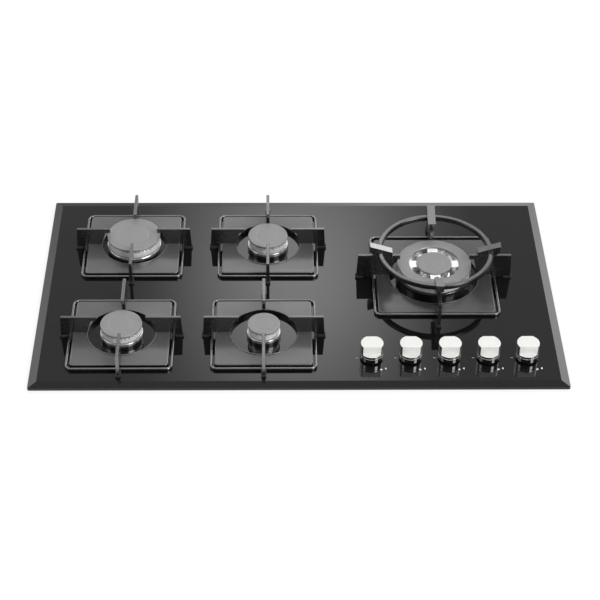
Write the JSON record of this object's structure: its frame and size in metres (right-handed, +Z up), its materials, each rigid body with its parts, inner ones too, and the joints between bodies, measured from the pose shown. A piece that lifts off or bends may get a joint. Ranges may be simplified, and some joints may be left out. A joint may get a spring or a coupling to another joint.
{
  "type": "gas cooktop",
  "caption": "Built-in gas cooktop: bevelled black glass panel over a steel box, open burners with crowns and caps, cross pan supports, a wok ring and push-and-turn knobs.",
  "frame": {"origin": "middle of the underside of the burner box, below the middle of the glass panel", "axes": "+X along the panel to the right as the cook sees it, +Y to the wall behind, +Z up out of the worktop"},
  "size_m": [0.9, 0.51, 0.131],
  "materials": {
    "black_glass": "polished, opaque black",
    "tray_enamel": "gloss black enamel",
    "support_iron": "matt black enamel",
    "cap_enamel": "matt black enamel",
    "cup_enamel": "dark gloss coat",
    "burner_aluminium": "turned and bright",
    "knob_chrome": "polished",
    "spindle_steel": "turned",
    "tap_aluminium": "die cast",
    "pipe_aluminium": "drawn",
    "pipe_steel": "zinc plated",
    "galvanised_steel": "zinc coated sheet",
    "brass": "machined",
    "ceramic": "glazed white",
    "rubber": "matt",
    "seal_foam": "matt closed cell foam",
    "black_plastic": "moulded",
    "white_plastic": "moulded",
    "grey_plastic": "moulded",
    "lead_silicone": "smooth"
  },
  "bodies": {
    "hob_body": {"glass_top": "black_glass", "burner_box": "galvanised_steel", "worktop_seal": "seal_foam", "burner_cups": "cup_enamel", "injectors": "brass", "spark_electrodes": "ceramic", "drip_tray_front_left": "tray_enamel", "drip_tray_rear_left": "tray_enamel", "drip_tray_front_centre": "tray_enamel", "drip_tray_rear_centre": "tray_enamel", "drip_tray_wok": "tray_enamel", "knob_seals": "rubber", "gas_taps": "tap_aluminium", "ignition_switches": "black_plastic", "rail_fixings": "galvanised_steel", "gas_manifold": "pipe_steel", "gas_inlet": "brass", "feed_pipes": "pipe_aluminium", "cable_gland": "black_plastic", "spark_generator": "grey_plastic", "ignition_wiring": "lead_silicone", "worktop_clamps": "galvanised_steel", "screws": "galvanised_steel"},
    "tap_plunger_1": {"switch_collar_1": "white_plastic"},
    "knob_1": {"knob_1": "knob_chrome", "tap_spindle_1": "spindle_steel"},
    "tap_plunger_2": {"switch_collar_2": "white_plastic"},
    "knob_2": {"knob_2": "knob_chrome", "tap_spindle_2": "spindle_steel"},
    "tap_plunger_3": {"switch_collar_3": "white_plastic"},
    "knob_3": {"knob_3": "knob_chrome", "tap_spindle_3": "spindle_steel"},
    "tap_plunger_4": {"switch_collar_4": "white_plastic"},
    "knob_4": {"knob_4": "knob_chrome", "tap_spindle_4": "spindle_steel"},
    "tap_plunger_5": {"switch_collar_5": "white_plastic"},
    "knob_5": {"knob_5": "knob_chrome", "tap_spindle_5": "spindle_steel"},
    "support_front_left": {"pan_support_front_left": "support_iron", "support_feet_front_left": "rubber"},
    "support_rear_left": {"pan_support_rear_left": "support_iron", "support_feet_rear_left": "rubber"},
    "support_front_centre": {"pan_support_front_centre": "support_iron", "support_feet_front_centre": "rubber"},
    "support_rear_centre": {"pan_support_rear_centre": "support_iron", "support_feet_rear_centre": "rubber"},
    "support_wok": {"pan_support_wok": "support_iron", "support_feet_wok": "rubber"},
    "wok_ring": {"wok_ring": "support_iron"},
    "crown_front_left": {"burner_crown_front_left": "burner_aluminium"},
    "cap_front_left": {"burner_cap_front_left": "cap_enamel"},
    "crown_rear_left": {"burner_crown_rear_left": "burner_aluminium"},
    "cap_rear_left": {"burner_cap_rear_left": "cap_enamel"},
    "crown_front_centre": {"burner_crown_front_centre": "burner_aluminium"},
    "cap_front_centre": {"burner_cap_front_centre": "cap_enamel"},
    "crown_rear_centre": {"burner_crown_rear_centre": "burner_aluminium"},
    "cap_rear_centre": {"burner_cap_rear_centre": "cap_enamel"},
    "crown_wok": {"burner_crown_wok": "burner_aluminium"},
    "cap_wok_outer": {"burner_cap_wok_outer": "cap_enamel"},
    "cap_wok_inner": {"burner_cap_wok_inner": "cap_enamel"}
  },
  "joints": [
    {"name": "knob_1_push", "type": "slide", "parent": "hob_body", "child": "tap_plunger_1", "axis": [0, 0, -1], "range_m": [0, 0.0035], "stiffness_N_per_m": 800, "springref_m": -0.01},
    {"name": "knob_1_turn", "type": "hinge", "parent": "tap_plunger_1", "child": "knob_1", "pos_m": [0.122, -0.185, 0.06], "axis": [0, 0, 1], "range_deg": [0, 210]},
    {"name": "knob_2_push", "type": "slide", "parent": "hob_body", "child": "tap_plunger_2", "axis": [0, 0, -1], "range_m": [0, 0.0035], "stiffness_N_per_m": 800, "springref_m": -0.01},
    {"name": "knob_2_turn", "type": "hinge", "parent": "tap_plunger_2", "child": "knob_2", "pos_m": [0.1875, -0.185, 0.06], "axis": [0, 0, 1], "range_deg": [0, 210]},
    {"name": "knob_3_push", "type": "slide", "parent": "hob_body", "child": "tap_plunger_3", "axis": [0, 0, -1], "range_m": [0, 0.0035], "stiffness_N_per_m": 800, "springref_m": -0.01},
    {"name": "knob_3_turn", "type": "hinge", "parent": "tap_plunger_3", "child": "knob_3", "pos_m": [0.253, -0.185, 0.06], "axis": [0, 0, 1], "range_deg": [0, 210]},
    {"name": "knob_4_push", "type": "slide", "parent": "hob_body", "child": "tap_plunger_4", "axis": [0, 0, -1], "range_m": [0, 0.0035], "stiffness_N_per_m": 800, "springref_m": -0.01},
    {"name": "knob_4_turn", "type": "hinge", "parent": "tap_plunger_4", "child": "knob_4", "pos_m": [0.3185, -0.185, 0.06], "axis": [0, 0, 1], "range_deg": [0, 210]},
    {"name": "knob_5_push", "type": "slide", "parent": "hob_body", "child": "tap_plunger_5", "axis": [0, 0, -1], "range_m": [0, 0.0035], "stiffness_N_per_m": 800, "springref_m": -0.01},
    {"name": "knob_5_turn", "type": "hinge", "parent": "tap_plunger_5", "child": "knob_5", "pos_m": [0.384, -0.185, 0.06], "axis": [0, 0, 1], "range_deg": [0, 210]},
    {"name": "support_front_left_lift", "type": "slide", "parent": "hob_body", "child": "support_front_left", "axis": [0, 0, 1], "range_m": [0, 0.08]},
    {"name": "support_rear_left_lift", "type": "slide", "parent": "hob_body", "child": "support_rear_left", "axis": [0, 0, 1], "range_m": [0, 0.08]},
    {"name": "support_front_centre_lift", "type": "slide", "parent": "hob_body", "child": "support_front_centre", "axis": [0, 0, 1], "range_m": [0, 0.08]},
    {"name": "support_rear_centre_lift", "type": "slide", "parent": "hob_body", "child": "support_rear_centre", "axis": [0, 0, 1], "range_m": [0, 0.08]},
    {"name": "support_wok_lift", "type": "slide", "parent": "hob_body", "child": "support_wok", "axis": [0, 0, 1], "range_m": [0, 0.08]},
    {"name": "wok_ring_lift", "type": "slide", "parent": "support_wok", "child": "wok_ring", "axis": [0, 0, 1], "range_m": [0, 0.06]},
    {"name": "crown_front_left_lift", "type": "slide", "parent": "hob_body", "child": "crown_front_left", "axis": [0, 0, 1], "range_m": [0, 0.04]},
    {"name": "cap_front_left_lift", "type": "slide", "parent": "crown_front_left", "child": "cap_front_left", "axis": [0, 0, 1], "range_m": [0, 0.025]},
    {"name": "crown_rear_left_lift", "type": "slide", "parent": "hob_body", "child": "crown_rear_left", "axis": [0, 0, 1], "range_m": [0, 0.02]},
    {"name": "cap_rear_left_lift", "type": "slide", "parent": "crown_rear_left", "child": "cap_rear_left", "axis": [0, 0, 1], "range_m": [0, 0.02]},
    {"name": "crown_front_centre_lift", "type": "slide", "parent": "hob_body", "child": "crown_front_centre", "axis": [0, 0, 1], "range_m": [0, 0.04]},
    {"name": "cap_front_centre_lift", "type": "slide", "parent": "crown_front_centre", "child": "cap_front_centre", "axis": [0, 0, 1], "range_m": [0, 0.025]},
    {"name": "crown_rear_centre_lift", "type": "slide", "parent": "hob_body", "child": "crown_rear_centre", "axis": [0, 0, 1], "range_m": [0, 0.04]},
    {"name": "cap_rear_centre_lift", "type": "slide", "parent": "crown_rear_centre", "child": "cap_rear_centre", "axis": [0, 0, 1], "range_m": [0, 0.025]},
    {"name": "crown_wok_lift", "type": "slide", "parent": "hob_body", "child": "crown_wok", "axis": [0, 0, 1], "range_m": [0, 0.02]},
    {"name": "cap_wok_outer_lift", "type": "slide", "parent": "crown_wok", "child": "cap_wok_outer", "axis": [0, 0, 1], "range_m": [0, 0.02]},
    {"name": "cap_wok_inner_lift", "type": "slide", "parent": "crown_wok", "child": "cap_wok_inner", "axis": [0, 0, 1], "range_m": [0, 0.02]}
  ],
  "couplings": [
    {"joint": "crown_rear_left_lift", "follows": "support_rear_left_lift", "ratio": 0.25},
    {"joint": "cap_rear_left_lift", "follows": "support_rear_left_lift", "ratio": 0.25},
    {"joint": "crown_wok_lift", "follows": "support_wok_lift", "ratio": 0.25},
    {"joint": "cap_wok_outer_lift", "follows": "support_wok_lift", "ratio": 0.25},
    {"joint": "cap_wok_inner_lift", "follows": "support_wok_lift", "ratio": 0.25}
  ]
}
